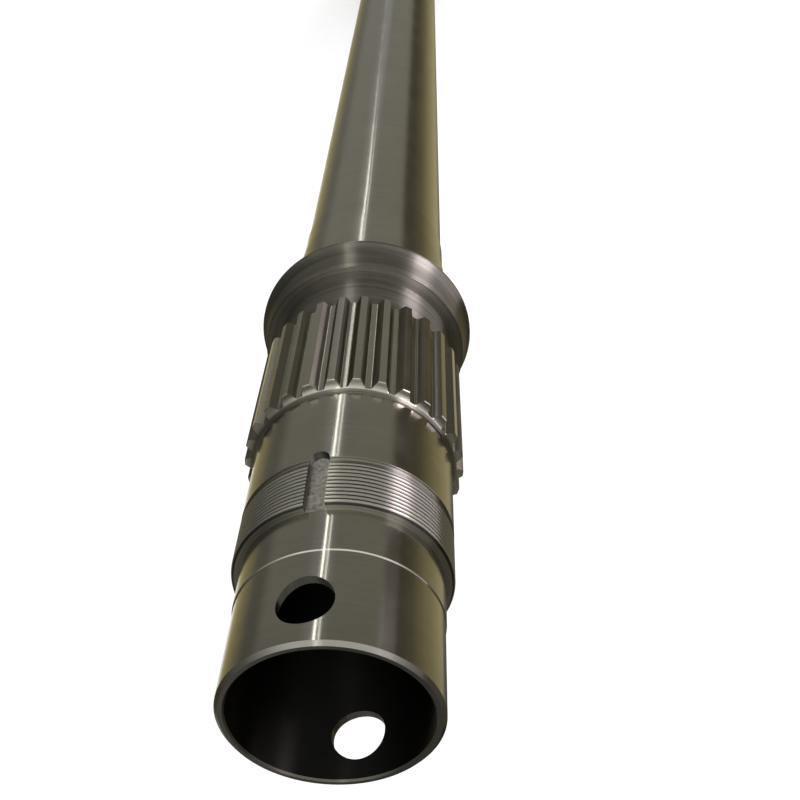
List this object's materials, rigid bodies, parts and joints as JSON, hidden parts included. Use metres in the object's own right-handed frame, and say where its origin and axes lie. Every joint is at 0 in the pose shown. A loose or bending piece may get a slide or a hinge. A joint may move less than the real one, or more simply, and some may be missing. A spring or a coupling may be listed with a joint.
{
  "type": "splined shaft",
  "caption": "Long hollow steel shaft with an involute spline, a bearing seat, a lock-nut thread with a tab slot, a stepped collar and a cross-drilled end.",
  "frame": {"origin": "centre of the plain far end's face, on the shaft's axis, which is the middle of the box's base", "axes": "+Z along the shaft from the plain end to the threaded end, -Y through the cross-hole and the tab slot"},
  "size_m": [0.108, 0.108, 1],
  "materials": {
    "ground_steel": "turned and ground"
  },
  "bodies": {
    "root": {"splined_shaft": "ground_steel"}
  },
  "joints": []
}
